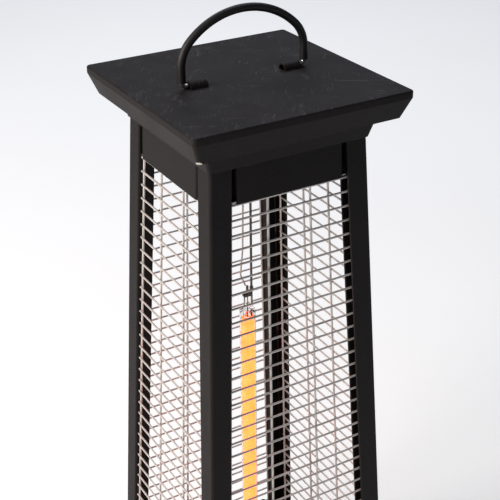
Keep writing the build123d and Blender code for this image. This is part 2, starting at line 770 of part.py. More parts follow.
def tube_clamp(middle, name):
    """A strip that grips a flat end of the tube and the stay rod."""
    reach = hypot(stay_place, stay_place)
    with BuildPart() as clamp:
        with BuildSketch(Plane.XY.offset(middle - clamp_height / 2)):
            with Locations(Location((stay_place / 2, stay_place / 2, 0), (0, 0, 45))):
                Rectangle(reach, clamp_wall)
            with Locations((stay_place, stay_place)):
                Circle(stay_width / 2 + clamp_wall)
            Rectangle(pinch_width + 2 * clamp_wall, pinch_thick + 2 * clamp_wall)
            Rectangle(pinch_width + 2 * pin_gap, pinch_thick + 2 * pin_gap, mode=Mode.SUBTRACT)
            with Locations((stay_place, stay_place)):
                Circle(stay_width / 2 + pin_gap, mode=Mode.SUBTRACT)
        extrude(amount=clamp_height)
    write(clamp.part, name)


tube_clamp(pinch_high - clamp_drop, "upper_clamp")
tube_clamp(pinch_low + clamp_drop, "lower_clamp")


def bushing(low, name):
    """A flanged ceramic bushing through a level plate, its flange on top."""
    with BuildPart() as piece:
        with BuildSketch(Plane.XY.offset(low - bushing_drop)):
            with Locations(bushing_place):
                Circle(bushing_width / 2)
        extrude(amount=heat_sheet + bushing_drop)
        with BuildSketch(Plane.XY.offset(low + heat_sheet)):
            with Locations(bushing_place):
                Circle(bushing_flange / 2)
        extrude(amount=bushing_rise)
        fillet(piece.edges().group_by(Axis.Z)[-1], radius=moulded_round)
        with BuildSketch(Plane.XY.offset(low - bushing_drop)):
            with Locations(bushing_place):
                Circle(bushing_bore / 2)
        extrude(amount=bushing_drop + heat_sheet + bushing_rise, mode=Mode.SUBTRACT)
    write(piece.part, name)


bushing(shield_low, "upper_bushing")
bushing(deck_low, "lower_bushing")


def wire(points, bends, width, name):
    """An insulated wire along straight runs joined by tangent arcs."""
    with BuildPart() as piece:
        with BuildLine() as route:
            FilletPolyline(*points, radius=bends)
        with BuildSketch(Plane(origin=points[0], z_dir=Vector(*points[1]) - Vector(*points[0]))):
            Circle(width / 2)
        sweep(path=route.line)
    write(piece.part, name)


# ---- over-heat cut-out on the shield, terminal block and tip-over switch in the base -------------
cutout_low = shield_low + heat_sheet
cutout_radius = 8.0
cutout_foot = (26.0, 8.0, 1.0)  # length, width and thickness of its fixing strap
cutout_high = cutout_low + 9.0
cutout_tabs = 7.0  # between its two terminals
cutout_tab_high = 5.0
with BuildPart() as thermal_cutout:
    with BuildSketch(Plane.XY.offset(cutout_low)):
        with Locations(cutout_place):
            SlotOverall(cutout_foot[0], cutout_foot[1], rotation=90)
            Circle(cutout_radius)
    extrude(amount=cutout_foot[2])
    with BuildSketch(Plane.XY.offset(cutout_low + cutout_foot[2])):
        with Locations(cutout_place):
            Circle(cutout_radius)
    extrude(amount=cutout_high - cutout_low - cutout_foot[2])
    fillet(thermal_cutout.edges().group_by(Axis.Z)[-1], radius=moulded_round)
    with BuildSketch(Plane.XY.offset(cutout_high)):
        with Locations(cutout_place):
            with GridLocations(0, cutout_tabs, 1, 2):
                Rectangle(*tab_size)
    extrude(amount=cutout_tab_high)
write(thermal_cutout.part, "thermal_cutout")

block_size = (36.0, 20.0, 16.0)
block_pitch = (11.0, 15.0)  # between its screw wells
block_well = 4.8
block_floor = 4.0  # under the wells
block_port = (6.0, 5.0, 6.0)  # width, height and level of the wire ports
floor_top = plate_low + sheet
with BuildPart() as terminal_block:
    with BuildSketch(Plane.XY.offset(floor_top)):
        with Locations(block_place):
            Rectangle(block_size[0], block_size[1])
    extrude(amount=block_size[2])
    with BuildSketch(Plane.XY.offset(floor_top + block_floor)):
        with Locations(block_place):
            with GridLocations(*block_pitch, 3, 2):
                Circle(block_well / 2)
    extrude(amount=block_size[2], mode=Mode.SUBTRACT)
    with Locations((*block_place, floor_top + block_port[2])):
        with GridLocations(block_pitch[0], 0, 3, 1):
            Box(block_port[0], 2 * block_size[1], block_port[1], mode=Mode.SUBTRACT)
write(terminal_block.part, "terminal_block")

tip_size = (24.0, 16.0)
tip_wall = 1.6
tip_corner = 1.5
spring_gap = 0.1
tip_high = floor_top + 24.0
tip_room = 5.2
collar_radius = 4.8
collar_thick = 1.5
collar_rest = floor_top + tip_wall + plunger_travel + spring_gap
stem_radius = 1.5
stem_length = 3.0
with BuildPart() as tip_switch:
    with BuildSketch(Plane.XY.offset(floor_top)):
        with Locations(tip_place):
            RectangleRounded(*tip_size, tip_corner)
    extrude(amount=tip_high - floor_top)
    with BuildSketch(Plane.XY.offset(floor_top + tip_wall)):
        with Locations(tip_place):
            Circle(tip_room)
    extrude(amount=tip_high - floor_top - 2 * tip_wall, mode=Mode.SUBTRACT)
    with BuildSketch(Plane.XY.offset(floor_top)):
        with Locations(tip_place):
            Circle(plunger_width / 2 + plunger_gap)
    extrude(amount=tip_wall, mode=Mode.SUBTRACT)
write(tip_switch.part, "tip_switch")

with BuildPart() as tip_plunger:
    with BuildSketch(Plane.XY):
        with Locations(tip_place):
            Circle(plunger_width / 2)
    extrude(amount=collar_rest)
    with BuildSketch(Plane.XY.offset(collar_rest)):
        with Locations(tip_place):
            Circle(collar_radius)
    extrude(amount=collar_thick)
    with BuildSketch(Plane.XY.offset(collar_rest + collar_thick)):
        with Locations(tip_place):
            Circle(stem_radius)
    extrude(amount=stem_length)
write(tip_plunger.part, "tip_plunger")

spring_wire = 0.7
spring_radius = 3.4
spring_turns = 4
spring_low = collar_rest + collar_thick + spring_wire / 2 + spring_gap
spring_high = tip_high - tip_wall - spring_wire / 2 - spring_gap
with BuildPart() as tip_spring:
    with BuildLine():
        coil = Helix(
            pitch=(spring_high - spring_low) / spring_turns,
            height=spring_high - spring_low,
            radius=spring_radius,
            center=(*tip_place, spring_low),
        )
    with BuildSketch(Plane(origin=coil @ 0, z_dir=coil % 0)):
        Circle(spring_wire / 2)
    sweep(path=coil, is_frenet=True)
write(tip_spring.part, "tip_spring")

# ---- wiring --------------------------------------------------------------------------------------
wire_gap = 0.2  # ends of the wires from what they join
upper_swing = [(-1.6, 0.9), (-5.6, 3.2), (-3.4, 2.0)]  # the upper lead's way round the element's axis
upper_swing_rise = 12.0
upper_swing_end = 0.3  # share of the way up to the shield
upper_straight = 0.78  # share of that way where the lead is upright again
lead_over_cutout = 9.0
lead_under_deck = 14.0
lead_over_block = 20.0
lower_lead_shift = (-11.0, -2.0)  # its screw on the terminal block
riser_shift = 2.4  # the riser's screw on the terminal block
riser_over_block = 24.0
riser_under_base = 38.0  # base panels' tops down to the riser's lower bend
riser_over_shield = 17.3
riser_turn = (44.0, 26.0)
riser_over_cutout = 6.0
upper_bends = [6, 12, 30, 5, 2]
riser_bends = [10, 14, 12, 10, 1.5]
lower_bends = [12, 12]

block_x, block_y = block_place
crimp_top = pinch_high + pin_reach + crimp_length
crimp_bottom = pinch_low - pin_reach - crimp_length
block_top = floor_top + block_size[2] + wire_gap
tab_top = cutout_high + cutout_tab_high + wire_gap
tab_front = (cutout_place[0], cutout_place[1] - cutout_tabs / 2)
tab_back = (cutout_place[0], cutout_place[1] + cutout_tabs / 2)
shield_run = shield_low - crimp_top
upper_levels = (2 * wire_gap, upper_swing_rise, upper_swing_end * shield_run)
wire(
    [(*spot, crimp_top + rise) for spot, rise in zip(upper_swing, upper_levels)]
    + [(*bushing_place, crimp_top + upper_straight * shield_run)]
    + [(*spot, cutout_high + lead_over_cutout) for spot in (bushing_place, tab_front)]
    + [(*tab_front, tab_top)],
    upper_bends,
    lead_width,
    "upper_lead",
)


def riser_at(z):
    """Where the riser runs inside the back right post at height z."""
    place = body_half(z) - riser_depth
    return (place, place, z)


riser_high = shield_low + riser_over_shield
wire(
    [
        (block_x, block_y + riser_shift, block_top),
        (block_x, block_y + riser_shift, block_top + riser_over_block),
        riser_at(base_panel_top - riser_under_base),
        riser_at(riser_high),
        (*riser_turn, riser_high),
        (*tab_back, riser_high + riser_over_cutout),
        (*tab_back, tab_top),
    ],
    riser_bends,
    riser_width,
    "riser_wire",
)
lower_end = (block_x + lower_lead_shift[0], block_y + lower_lead_shift[1])
wire(
    [
        (*bushing_place, crimp_bottom - 2 * wire_gap),
        (*bushing_place, deck_low - lead_under_deck),
        (*lower_end, block_top + lead_over_block),
        (*lower_end, block_top),
    ],
    lower_bends,
    lead_width,
    "lower_lead",
)

clip_count = 3
clip_half = 4.0  # half the length of a clip
clip_pitch = (shield_low - deck_high) / (clip_count + 1)
with BuildPart() as riser_clips:
    for level in [deck_high + clip_pitch * (n + 1) for n in range(clip_count)]:
        with BuildSketch(Plane(origin=riser_at(level), z_dir=(-splay, -splay, 1))):
            Circle(riser_depth - post_sheet - pin_gap)
            Circle(riser_width / 2 + screw_gap, mode=Mode.SUBTRACT)
        extrude(amount=clip_half, both=True)
write(riser_clips.part, "riser_clips")
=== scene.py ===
"""Looks of the lantern patio heater: finishes for the built parts, and pieces that only need looks."""

import bpy
from math import cos, pi, radians, sin
from mathutils import Euler, Matrix, Vector


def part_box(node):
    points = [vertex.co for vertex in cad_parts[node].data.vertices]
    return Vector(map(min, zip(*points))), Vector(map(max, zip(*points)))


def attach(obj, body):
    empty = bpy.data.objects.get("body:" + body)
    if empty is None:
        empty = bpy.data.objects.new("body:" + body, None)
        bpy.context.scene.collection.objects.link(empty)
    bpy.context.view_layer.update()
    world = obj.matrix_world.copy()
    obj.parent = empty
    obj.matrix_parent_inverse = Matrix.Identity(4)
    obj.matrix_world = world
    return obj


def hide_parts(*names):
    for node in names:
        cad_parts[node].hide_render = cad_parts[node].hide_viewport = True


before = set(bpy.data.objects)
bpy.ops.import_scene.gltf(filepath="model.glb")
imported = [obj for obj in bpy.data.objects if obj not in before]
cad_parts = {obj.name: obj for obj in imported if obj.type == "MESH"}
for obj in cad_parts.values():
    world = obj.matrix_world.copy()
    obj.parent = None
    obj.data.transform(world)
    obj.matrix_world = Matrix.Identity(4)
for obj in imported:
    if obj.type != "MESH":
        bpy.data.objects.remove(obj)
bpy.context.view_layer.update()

bl_info = {
    "name": "Lantern Heater Finish",
    "version": (1, 0, 0),
    "blender": (4, 5, 0),
    "location": "View3D > Sidebar > Heater",
    "description": "Finishes and fine pieces for a tapered lantern patio heater",
    "category": "Object",
}

SIDES = ("front", "right", "back", "left")
CORNERS = ("front_left", "front_right", "back_right", "back_left")
MERGE_DISTANCE = 1e-6
SMOOTH_BELOW = radians(40)


def length(name, description, default):
    """A size property in metres."""
    return bpy.props.FloatProperty(
        name=name, description=description, default=default, unit="LENGTH", precision=5
    )


def colour(name, description, default):
    """A colour property, linear red, green and blue."""
    return bpy.props.FloatVectorProperty(
        name=name, description=description, default=default, subtype="COLOR", size=3
    )


def share(name, description, default):
    """A property between 0 and 1."""
    return bpy.props.FloatProperty(
        name=name, description=description, default=default, min=0.0, max=1.0, subtype="FACTOR"
    )


def angle(name, description, default):
    """An angle property, given in degrees."""
    return bpy.props.FloatProperty(
        name=name, description=description, default=radians(default), subtype="ANGLE"
    )


def point(name, description, default):
    """A place property in metres."""
    return bpy.props.FloatVectorProperty(
        name=name, description=description, default=default, subtype="TRANSLATION", size=3
    )


def number(name, description, default):
    """A plain number property."""
    return bpy.props.FloatProperty(name=name, description=description, default=default)


def count(name, description, default):
    """A whole number property."""
    return bpy.props.IntProperty(name=name, description=description, default=default, min=1)


# ---- settings ------------------------------------------------------------------------------------


class HeaterFinish(bpy.types.PropertyGroup):
    """Colours and surface qualities of the heater's materials."""

    coat: colour("Coat", "Powder coat on the sheet metal", (0.0136, 0.0121, 0.0123))
    # Lighter colour along edges: partly rubbed coat, partly a painted edge highlight.
    coat_worn_and_highlight: colour("Worn coat and edge highlight", "Coat rubbed thin along its edges", (0.075, 0.072, 0.068))
    coat_rough: share("Coat roughness", "Roughness of the powder coat", 0.56)
    coat_gloss: share("Coat gloss", "Specular level of the powder coat", 0.1)
    # Reach of the lighter edges, which are worn coat and a painted edge highlight.
    wear_and_highlight_width: length("Wear and highlight width", "How far edge wear reaches from an edge", 0.0009)
    dust: share("Dust", "How much dust lies on level faces", 0.34)
    dust_tint: colour("Dust tint", "Colour of settled dust", (0.1, 0.1, 0.11))
    scratch_tint: colour("Scratch tint", "Colour of hairline scratches", (0.12, 0.12, 0.13))
    scratches: share("Scratches", "How strongly hairline scratches show on the coat", 0.4)
    chip_size: length("Chip size", "Reach of the chip in the coat", 0.0042)
    chip_ragged: length("Chip raggedness", "How far the chip's outline wanders", 0.003)
    wire: colour("Wire", "Plated guard wire", (0.66, 0.63, 0.605))
    wire_rough: share("Wire roughness", "Roughness of the guard wire", 0.46)
    wire_metal: share("Wire metal", "How metallic the dull plating on the guard wire still is", 0.5)
    bare_steel: colour("Bare steel", "Bare rod and fixings", (0.62, 0.6, 0.57))
    zinc: colour("Zinc", "Zinc-plated inner sheet", (0.32, 0.325, 0.33))
    rubber: colour("Rubber", "Handle sleeve and feet", (0.0075, 0.0075, 0.0082))
    glow: colour("Glow", "Colour of the hot carbon", (1.0, 0.19, 0.028))
    glow_hot: colour("Hot glow", "Colour of its brightest threads", (1.0, 0.232, 0.055))
    glow_edge: colour("End glow", "Colour of the cooler ends", (0.42, 0.045, 0.008))
    glow_power: number("Glow power", "Brightness of the hot carbon", 3.0)
    quartz: colour("Quartz", "Tint of the quartz tube", (0.95, 0.93, 0.92))
    ceramic: colour("Ceramic", "Bushings and terminal block", (0.72, 0.67, 0.58))
    braid: colour("Braid", "Glass-fibre sleeve on the leads", (0.6, 0.55, 0.5))


class HeaterDetail(bpy.types.PropertyGroup):
    """Sizes of the fine pieces that are made here."""

    splay: number("Splay", "How far a side leans out for each unit down", 0.05)
    row_pitch: length("Row pitch", "Distance between two level wires", 0.014)
    row_count: count("Rows", "Number of level wires on one side", 36)
    first_row: length("First row", "Guard's top down to its first level wire", 0.0012)
    weld_depth: length("Weld depth", "Posts' faces to the middle of the weld nuggets", 0.0044)
    nugget: length("Nugget", "Radius of a weld nugget", 0.00125)
    leg: length("Leg", "Width of a post's leg", 0.0215)
    upright_share: share("Upright share", "Inner uprights, as a share of the half-width", 0.268)
    upright_start: length("First upright", "From one post's third wall", 0.0014)
    upright_tuck: length("Last upright", "Behind the open leg of the other post", 0.0045)
    turn_pitch: length("Turn pitch", "Distance between two turns of the carbon tape", 0.0032)
    tape_width: length("Tape width", "Width of the carbon tape", 0.0027)
    tape_thick: length("Tape thickness", "Thickness of the carbon tape", 0.0005)
    neck_length: length("Neck length", "Length of the narrower winding at each end of the element", 0.0065)
    neck_share: share("Neck share", "Width of that winding, as a share of the element's", 0.78)
    tail_radius: length("Tail radius", "Radius of the loop at each end of the tape", 0.0038)
    tail_sink: length("Tail sink", "How far each end loop is sunk into the winding", 0.0005)
    tail_thick: number("Tail thickness", "Radius of a loop's wire, as a share of the tape's thickness", 1.3)
    tail_turn: angle("Tail turn", "Turn of the end loops about the heater's axis", 30)
    mark_rise: length("Mark rise", "Thickness of the switch marks", 0.0003)
    mark_line: length("Mark line", "Width of the marks' lines", 0.0006)
    mark_size: length("Mark size", "Height of the marks", 0.0032)
    mark_offset: length("Mark offset", "From the rocker's middle to each mark", 0.0045)


class HeaterStage(bpy.types.PropertyGroup):
    """The camera, the lights and the floor."""

    azimuth: angle("Azimuth", "Camera's turn round the heater", -29.87)
    elevation: angle("Elevation", "Camera's height above level", 27.8)
    roll: angle("Roll", "Camera's tilt about its line of sight", -0.68)
    distance: length("Distance", "Camera to the point it looks at", 1.06818)
    lens: number("Lens", "Focal length in millimetres on a 36 mm sensor", 80.24)
    aim: point("Aim", "Point that the camera looks at", (0.00272, -0.00156, 0.5067))
    floor: colour("Floor", "Pale floor", (0.81, 0.822, 0.815))
    floor_radius: length("Floor radius", "From the heater to the floor's edge", 9.0)
    floor_power: number("Floor power", "Brightness of the lit floor", 0.38)
    sky: colour("Sky", "Soft light from all round", (0.43, 0.45, 0.54))
    sky_power: number("Sky power", "Strength of the light from all round", 0.18)
    high: colour("High light", "Tint of the soft light high up behind", (0.87, 0.9, 1.0))
    high_power: number("High light power", "Power of the soft light high up behind, in watts", 50.0)
    high_place: point("High light place", "Where the high light is", (1.0, 2.0, 2.6))
    high_aim: point("High light aim", "Where the high light points", (0.9, 1.9, 0.0))
    high_size: length("High light size", "Side of the high light", 3.0)
    key: colour("Key", "Tint of the large light at the left", (1.0, 0.885, 0.815))
    key_power: number("Key power", "Power of the large light at the left, in watts", 66.0)
    key_place: point("Key place", "Where the key light is", (-1.9, 0.1, 1.5))
    key_aim: point("Key aim", "Where the key light points", (0.0, 0.0, 0.35))
    key_size: length("Key size", "Side of the key light", 1.6)


# ---- modelling helpers ---------------------------------------------------------------------------


def clear_selection():
    """Nothing selected, and object mode."""
    if bpy.context.object and bpy.context.object.mode != "OBJECT":
        bpy.ops.object.mode_set(mode="OBJECT")
    bpy.ops.object.select_all(action="DESELECT")


def select(*objects):
    """Only these objects selected, the first one active."""
    clear_selection()
    for obj in objects:
        obj.select_set(True)
    bpy.context.view_layer.objects.active = objects[0]


def made(name):
    """The object that an operator has just added, under its name."""
    obj = bpy.context.object
    obj.name = name
    obj.data.name = name
    return obj


def settle(obj):
    """Moves an object's place, turn and scale into its mesh."""
    select(obj)
    bpy.ops.object.transform_apply(location=True, rotation=True, scale=True)
    return obj


def modified(obj, kind, **values):
    """Adds a modifier with these values and applies it."""
    select(obj)
    modifier = obj.modifiers.new(kind.title(), kind)
    for key, value in values.items():
        setattr(modifier, key, value)
    bpy.ops.object.modifier_apply(modifier=modifier.name)
    return obj


def join(name, objects):
    """Joins objects into one of this name, each face as it was."""
    select(*objects)
    if len(objects) > 1:
        bpy.ops.object.join()
    return made(name)


def turned_copy(obj, name, turns):
    """A copy with its own mesh, turned by quarter turns about the heater's axis."""
    copy = obj.copy()
    copy.data = obj.data.copy()
    copy.name = name
    copy.data.name = name
    bpy.context.scene.collection.objects.link(copy)
    copy.rotation_euler = Euler((0.0, 0.0, turns * pi / 2))
    return settle(copy)


def edit_all(obj):
    """Edit mode on this object, with all of its mesh selected."""
    select(obj)
    bpy.ops.object.mode_set(mode="EDIT")
    bpy.ops.mesh.select_all(action="SELECT")


def face_out(obj):
    """Merges doubles and turns all faces outwards."""
    edit_all(obj)
    bpy.ops.mesh.remove_doubles(threshold=MERGE_DISTANCE)
    bpy.ops.mesh.normals_make_consistent(inside=False)
    bpy.ops.object.mode_set(mode="OBJECT")
    return obj


def finish_piece(obj, material, body):
    """Gives a new piece its material and its body."""
    obj.data.materials.clear()
    obj.data.materials.append(material)
    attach(obj, body)
    return obj


def paint(material, *names):
    """Puts a material on CAD nodes."""
    for name in names:
        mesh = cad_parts[name].data
        if not mesh.materials:
            mesh.materials.append(material)
        for index in range(len(mesh.materials)):
            mesh.materials[index] = material
    return material


def on_sides(prefix):
    """The names of a node's four copies."""
    return [f"{prefix}_{side}" for side in SIDES]


# ---- shader helpers ------------------------------------------------------------------------------


class Shading:
    """A node tree with short ways to add and join nodes."""

    def __init__(self, tree):
        self.tree = tree
        self.column = 0

    def add(self, kind, inputs=None, **values):
        """A node, with its settings, and inputs given as values or as sockets."""
        node = self.tree.nodes.new(kind)
        self.column += 1
        node.location = (200 * (self.column % 12), -260 * (self.column // 12))
        for key, value in values.items():
            setattr(node, key, value)
        for key, value in (inputs or {}).items():
            socket = node.inputs[key]
            if isinstance(value, bpy.types.NodeSocket):
                self.tree.links.new(value, socket)
            else:
                socket.default_value = value
        return node

    def math(self, operation, *inputs, clamp=False):
        """The output of a Math node."""
        values = dict(enumerate(inputs))
        return self.add("ShaderNodeMath", values, operation=operation, use_clamp=clamp).outputs[0]

    def ramp(self, socket, low, high, to_low=0.0, to_high=1.0):
        """A value moved from one range to another, and kept inside it."""
        inputs = {"Value": socket, "From Min": low, "From Max": high, "To Min": to_low, "To Max": to_high}
        return self.add("ShaderNodeMapRange", inputs).outputs[0]

    def blend(self, factor, first, second):
        """Two colours mixed by a factor."""
        node = self.add("ShaderNodeMix", data_type="RGBA")
        for socket, value in zip((node.inputs[0], node.inputs[6], node.inputs[7]), (factor, first, second)):
            if isinstance(value, bpy.types.NodeSocket):
                self.tree.links.new(value, socket)
            else:
                socket.default_value = value
        return node.outputs[2]

    def place(self, scale=(1.0, 1.0, 1.0), offset=(0.0, 0.0, 0.0), turn=(0.0, 0.0, 0.0)):
        """Object coordinates, scaled, moved and turned."""
        where = self.add("ShaderNodeTexCoord").outputs["Object"]
        inputs = {"Vector": where, "Scale": scale, "Location": offset, "Rotation": turn}
        return self.add("ShaderNodeMapping", inputs).outputs[0]

    def noise(self, vector, scale, detail=2.0, roughness=0.5):
        """A noise pattern's value."""
        inputs = {"Vector": vector, "Scale": scale, "Detail": detail, "Roughness": roughness}
        return self.add("ShaderNodeTexNoise", inputs).outputs[0]

    def bump(self, height, distance, strength=1.0):
        """A normal from a height."""
        inputs = {"Height": height, "Distance": distance, "Strength": strength}
        return self.add("ShaderNodeBump", inputs).outputs[0]

    def effect(self, group, **inputs):
        """One of the shared effects, with this material's own values."""
        node = self.add("ShaderNodeGroup", node_tree=group)
        for key, value in inputs.items():
            socket = node.inputs[key.replace("_", " ").capitalize()]
            if isinstance(value, bpy.types.NodeSocket):
                self.tree.links.new(value, socket)
            else:
                socket.default_value = value
        return node.outputs


def rgba(three):
    """A colour with full alpha."""
    return (*three, 1.0)


def new_group(name, inputs, outputs):
    """A shader node group with value inputs and outputs, or the one made before."""
    old = bpy.data.node_groups.get(name)
    if old:
        return old, None
    group = bpy.data.node_groups.new(name, "ShaderNodeTree")
    for label, default in inputs.items():
        socket = group.interface.new_socket(label, in_out="INPUT", socket_type="NodeSocketFloat")
        socket.default_value = default
    for label in outputs:
        group.interface.new_socket(label, in_out="OUTPUT", socket_type="NodeSocketFloat")
    return group, Shading(group)


def grain_effect():
    """Fine lumps of a sprayed or moulded surface, as a height and a slow change of tone."""
    group, shade = new_group("Surface grain", {"Grain size": 0.001, "Patch size": 0.05}, ("Height", "Tone"))
    if shade:
        entry = shade.add("NodeGroupInput").outputs
        where = shade.add("ShaderNodeTexCoord").outputs["Object"]
        fine = shade.noise(where, shade.math("DIVIDE", 1.0, entry["Grain size"]), 2.0, 0.6)
        patch = shade.noise(where, shade.math("DIVIDE", 1.0, entry["Patch size"]), 4.0, 0.55)
        shade.add("NodeGroupOutput", {"Height": fine, "Tone": shade.ramp(patch, 0.3, 0.7)})
    return group


def wear_and_highlight_effect():
    """A mask that is 1 along outer edges, broken up by noise: rubbed coat, and partly a painted edge
    highlight.
    """
    group, shade = new_group("Edge wear and highlight", {"Width": 0.001, "Patch size": 0.012, "Cover": 0.5}, ("Mask",))
    if shade:
        entry = shade.add("NodeGroupInput").outputs
        rounded = shade.add("ShaderNodeBevel", {"Radius": entry["Width"]}, samples=4).outputs[0]
        flat = shade.add("ShaderNodeNewGeometry").outputs["Normal"]
        normals = {0: rounded, 1: flat}
        along = shade.add("ShaderNodeVectorMath", normals, operation="DOT_PRODUCT").outputs["Value"]
        edge = shade.ramp(along, 0.995, 0.93)
        where = shade.add("ShaderNodeTexCoord").outputs["Object"]
        patch = shade.noise(where, shade.math("DIVIDE", 1.0, entry["Patch size"]), 5.0, 0.7)
        kept = shade.ramp(shade.math("ADD", patch, shade.math("SUBTRACT", entry["Cover"], 0.5)), 0.42, 0.62)
        shade.add("NodeGroupOutput", {"Mask": shade.math("MULTIPLY", edge, kept)})
    return group


def dust_effect():
    """Dust, small specks and hairline scratches on faces that look up."""
    group, shade = new_group("Dust and scratches", {"Dust": 0.3, "Scratches": 0.3}, ("Mask", "Scratch"))
    if shade:
        entry = shade.add("NodeGroupInput").outputs
        where = shade.add("ShaderNodeTexCoord").outputs["Object"]
        normal = shade.add("ShaderNodeNewGeometry").outputs["Normal"]
        up = shade.ramp(shade.add("ShaderNodeSeparateXYZ", {0: normal}).outputs["Z"], 0.3, 0.95)
        film = shade.ramp(shade.noise(where, 26.0, 6.0, 0.65), 0.44, 0.78)
        cells = shade.add("ShaderNodeTexVoronoi", {"Vector": where, "Scale": 170.0}).outputs
        chance = shade.add("ShaderNodeSeparateColor", {0: cells["Color"]}).outputs
        speck_size = shade.ramp(chance["Red"], 0.55, 1.0, 0.0, 0.22)
        specks = shade.math("LESS_THAN", cells["Distance"], speck_size)
        specks = shade.math("MULTIPLY", specks, shade.ramp(chance["Green"], 0.0, 1.0, 0.25, 1.0))
        lines = []
        for turn, scale in ((0.5, 11.0), (-0.9, 14.0), (2.1, 9.0)):
            turned = {"Vector": shade.place(turn=(0.0, 0.0, turn)), "Scale": (1.0, 22.0, 1.0)}
            line = shade.noise(shade.add("ShaderNodeMapping", turned).outputs[0], scale, 3.0, 0.4)
            gate = shade.ramp(shade.noise(where, scale * 5.0, 1.0), 0.56, 0.63)
            thin = shade.ramp(shade.math("ABSOLUTE", shade.math("SUBTRACT", line, 0.5)), 0.014, 0.0)
            lines.append(shade.math("MULTIPLY", thin, gate))
        scratch = shade.math("MAXIMUM", shade.math("MAXIMUM", lines[0], lines[1]), lines[2])
        scratch = shade.math("MULTIPLY", shade.math("MULTIPLY", scratch, entry["Scratches"]), up)
        loose = shade.math("MAXIMUM", shade.math("MULTIPLY", film, 0.35), specks)
        loose = shade.math("MULTIPLY", shade.math("MULTIPLY", loose, entry["Dust"]), up)
        shade.add("NodeGroupOutput", {"Mask": loose, "Scratch": scratch})
    return group


def new_material(name, **constants):
    """A material with a Principled shader whose constant values are set on its own sockets."""
    material = bpy.data.materials.new(name)
    material.use_nodes = True
    shade = Shading(material.node_tree)
    shader = material.node_tree.nodes["Principled BSDF"]
    for key, value in constants.items():
        shader.inputs[key.replace("_", " ")].default_value = value
    return material, shade, shader


def connect(shade, shader, **sockets):
    """Links values to the shader by socket name."""
    for key, socket in sockets.items():
        shade.tree.links.new(socket, shader.inputs[key.replace("_", " ")])


# ---- materials -----------------------------------------------------------------------------------


def coat_material(finish):
    """Black powder coat with rubbed edges whose lighter colour is partly a painted edge highlight, a chip
    at one corner of the cap, dust and scratches.
    """
    material, shade, shader = new_material("powder_coat", Specular_IOR_Level=finish.coat_gloss)
    grain = shade.effect(grain_effect(), grain_size=0.0013, patch_size=0.045)
    rub_and_highlight = shade.effect(wear_and_highlight_effect(), width=finish.wear_and_highlight_width, cover=0.42)["Mask"]
    dust = shade.effect(dust_effect(), dust=finish.dust, scratches=finish.scratches)
    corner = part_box("cap_collar")[0]
    chip_at = (corner.x, corner.y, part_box("cap_top")[0].z)
    where = shade.add("ShaderNodeTexCoord").outputs["Object"]
    ragged = shade.noise(where, 700.0, 2.0)
    gap = shade.add("ShaderNodeVectorMath", {0: where, 1: chip_at}, operation="DISTANCE").outputs["Value"]
    gap = shade.math("ADD", gap, shade.math("MULTIPLY", ragged, finish.chip_ragged))
    chip = shade.math("LESS_THAN", gap, finish.chip_size)
    speckle = shade.ramp(grain["Height"], 0.3, 0.7, 0.8, 1.2)
    tone = shade.math("MULTIPLY", shade.ramp(grain["Tone"], 0.0, 1.0, 0.86, 1.16), speckle)
    base = shade.add("ShaderNodeHueSaturation", {"Color": rgba(finish.coat), "Value": tone}).outputs[0]
    # Lightens the edges: rubbed coat, and a painted edge highlight.
    base = shade.blend(shade.math("MULTIPLY", rub_and_highlight, 0.75), base, rgba(finish.coat_worn_and_highlight))
    base = shade.blend(dust["Mask"], base, rgba(finish.dust_tint))
    base = shade.blend(dust["Scratch"], base, rgba(finish.scratch_tint))
    base = shade.blend(chip, base, rgba(finish.bare_steel))
    rough = shade.ramp(grain["Tone"], 0.0, 1.0, finish.coat_rough - 0.05, finish.coat_rough + 0.05)
    rough = shade.math("ADD", rough, shade.math("MULTIPLY", dust["Mask"], 0.3), clamp=True)
    bump = shade.bump(grain["Height"], 0.00006, 0.5)
    connect(shade, shader, Base_Color=base, Roughness=rough, Normal=bump, Metallic=chip)
    return material


def metal_material(
    name,
    tint,
    rough,
    grain_size=0.0006,
    streak=(1.0, 1.0, 1.0),
    stain=(0.25, 0.2, 0.16),
    cover=0.2,
    metallic=1.0,
):
    """Plated or bare metal with fine streaks and a few dull stains."""
    material, shade, shader = new_material(name, Metallic=metallic)
    grain = shade.effect(grain_effect(), grain_size=grain_size, patch_size=0.03)
    where = shade.place(scale=streak)
    lines = shade.noise(where, 900.0, 3.0, 0.6)
    dull = shade.ramp(grain["Tone"], 1.0 - cover, 1.0)
    base = shade.blend(shade.math("MULTIPLY", dull, 0.5), rgba(tint), rgba(stain))
    base = shade.blend(shade.ramp(lines, 0.35, 0.75, 0.0, 0.35), base, rgba([0.72 * c for c in tint]))
    streaked = shade.ramp(lines, 0.3, 0.7, rough - 0.06, rough + 0.06)
    roughness = shade.math("ADD", streaked, shade.math("MULTIPLY", dull, 0.2))
    bump = shade.bump(grain["Height"], 0.00002, 0.4)
    connect(shade, shader, Base_Color=base, Roughness=roughness, Normal=bump)
    return material


def soft_material(name, tint, rough, gloss, grain_size=0.0007, depth=0.00003, dust=0.25):
    """Moulded rubber or plastic with fine grain and a little dust."""
    material, shade, shader = new_material(name, Specular_IOR_Level=gloss)
    grain = shade.effect(grain_effect(), grain_size=grain_size, patch_size=0.02)
    settled = shade.effect(dust_effect(), dust=dust, scratches=0.2)["Mask"]
    tone = shade.ramp(grain["Tone"], 0.0, 1.0, 0.85, 1.2)
    base = shade.add("ShaderNodeHueSaturation", {"Color": rgba(tint), "Value": tone}).outputs[0]
    base = shade.blend(shade.math("MULTIPLY", settled, 0.5), base, (0.2, 0.19, 0.18, 1.0))
    roughness = shade.ramp(grain["Tone"], 0.0, 1.0, rough - 0.06, rough + 0.06)
    bump = shade.bump(grain["Height"], depth, 0.5)
    connect(shade, shader, Base_Color=base, Roughness=roughness, Normal=bump)
    return material


